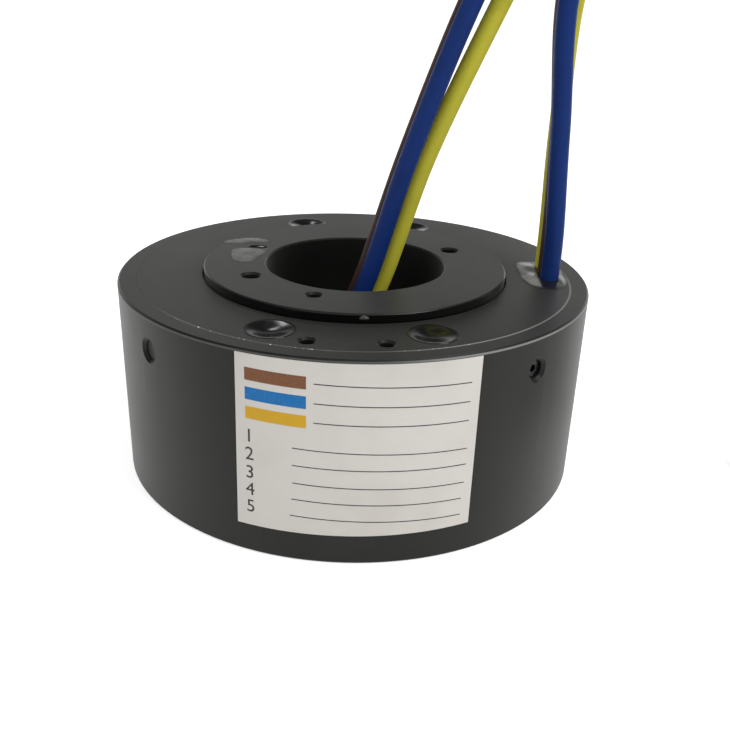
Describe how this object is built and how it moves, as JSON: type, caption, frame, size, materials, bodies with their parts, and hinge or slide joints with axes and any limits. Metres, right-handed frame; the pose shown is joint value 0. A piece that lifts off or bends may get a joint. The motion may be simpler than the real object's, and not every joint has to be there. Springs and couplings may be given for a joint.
{
  "type": "slip ring",
  "caption": "Through-bore slip ring: a round housing with a rotor that turns on two thin ball bearings and carries leads from its bore, with matching leads from the cover.",
  "frame": {"origin": "on the rotor's axis at the underside of the housing", "axes": "+Z along the axis, out of the face that the leads leave; -Y towards the label"},
  "size_m": [0.1528, 0.0911, 0.1353],
  "materials": {
    "anodised_housing": "satin black anodised",
    "anodised_cover": "satin black anodised",
    "anodised_rotor": "satin black anodised",
    "label_film": "printed polyester film",
    "blackened_screw": "blackened steel",
    "zinc_screw": "zinc plated steel",
    "potting_resin": "glossy black epoxy",
    "bearing_steel": "ground bearing steel",
    "cage_brass": "pressed brass",
    "brush_holder": "moulded glass filled resin",
    "silver_graphite": "pressed silver graphite",
    "spring_bronze": "rolled phosphor bronze",
    "bare_copper": "bare copper",
    "insulator": "turned insulating plastic",
    "contact_metal": "gold plated brass",
    "tinned_copper": "tinned copper",
    "lead_brown": "silicone insulation",
    "lead_blue": "silicone insulation",
    "lead_earth": "silicone insulation, yellow with green"
  },
  "bodies": {
    "stator": {"housing": "anodised_housing", "top_cover": "anodised_cover", "cover_set_screws": "blackened_screw", "label": "label_film", "lower_bearing_outer_ring": "bearing_steel", "upper_bearing_outer_ring": "bearing_steel", "front_brush_block": "brush_holder", "rear_brush_block": "brush_holder", "front_brush_1": "silver_graphite", "front_brush_2": "silver_graphite", "front_brush_3": "silver_graphite", "rear_brush_1": "silver_graphite", "rear_brush_2": "silver_graphite", "rear_brush_3": "silver_graphite", "front_spring_1": "spring_bronze", "front_spring_2": "spring_bronze", "front_spring_3": "spring_bronze", "rear_spring_1": "spring_bronze", "rear_spring_2": "spring_bronze", "rear_spring_3": "spring_bronze", "circuit_link_1": "bare_copper", "circuit_link_2": "bare_copper", "circuit_link_3": "bare_copper", "block_screws": "zinc_screw", "screw_resin": "potting_resin", "stator_lead_resin": "potting_resin", "stator_lead_brown": "lead_brown", "stator_lead_blue": "lead_blue", "stator_lead_earth": "lead_earth", "stator_lead_tips": "tinned_copper"},
    "rotor": {"rotor_sleeve": "anodised_rotor", "flange_ring": "anodised_rotor", "ring_nut": "anodised_rotor", "plug_screw": "blackened_screw", "vent_resin": "potting_resin", "lower_bearing_inner_ring": "bearing_steel", "upper_bearing_inner_ring": "bearing_steel", "ring_former": "insulator", "contact_ring_1": "contact_metal", "contact_ring_2": "contact_metal", "contact_ring_3": "contact_metal", "insulating_ring_1": "insulator", "insulating_ring_2": "insulator", "insulating_ring_3": "insulator", "insulating_ring_4": "insulator", "ring_tail_1": "bare_copper", "ring_tail_2": "bare_copper", "ring_tail_3": "bare_copper", "rotor_lead_resin": "potting_resin", "rotor_lead_brown": "lead_brown", "rotor_lead_blue": "lead_blue", "rotor_lead_earth": "lead_earth", "rotor_lead_tips": "tinned_copper"},
    "lower_ball_set": {"lower_bearing_balls": "bearing_steel", "lower_bearing_cage": "cage_brass"},
    "upper_ball_set": {"upper_bearing_balls": "bearing_steel", "upper_bearing_cage": "cage_brass"}
  },
  "joints": [
    {"name": "rotor_spin", "type": "hinge", "parent": "stator", "child": "rotor", "pos_m": [0, 0, 0.019], "axis": [0, 0, 1], "continuous": true},
    {"name": "lower_ball_roll", "type": "hinge", "parent": "stator", "child": "lower_ball_set", "pos_m": [0, 0, 0.007], "axis": [0, 0, 1], "continuous": true},
    {"name": "upper_ball_roll", "type": "hinge", "parent": "stator", "child": "upper_ball_set", "pos_m": [0, 0, 0.0308], "axis": [0, 0, 1], "continuous": true}
  ],
  "couplings": [
    {"joint": "lower_ball_roll", "follows": "rotor_spin", "ratio": 0.4661},
    {"joint": "upper_ball_roll", "follows": "rotor_spin", "ratio": 0.4661}
  ]
}
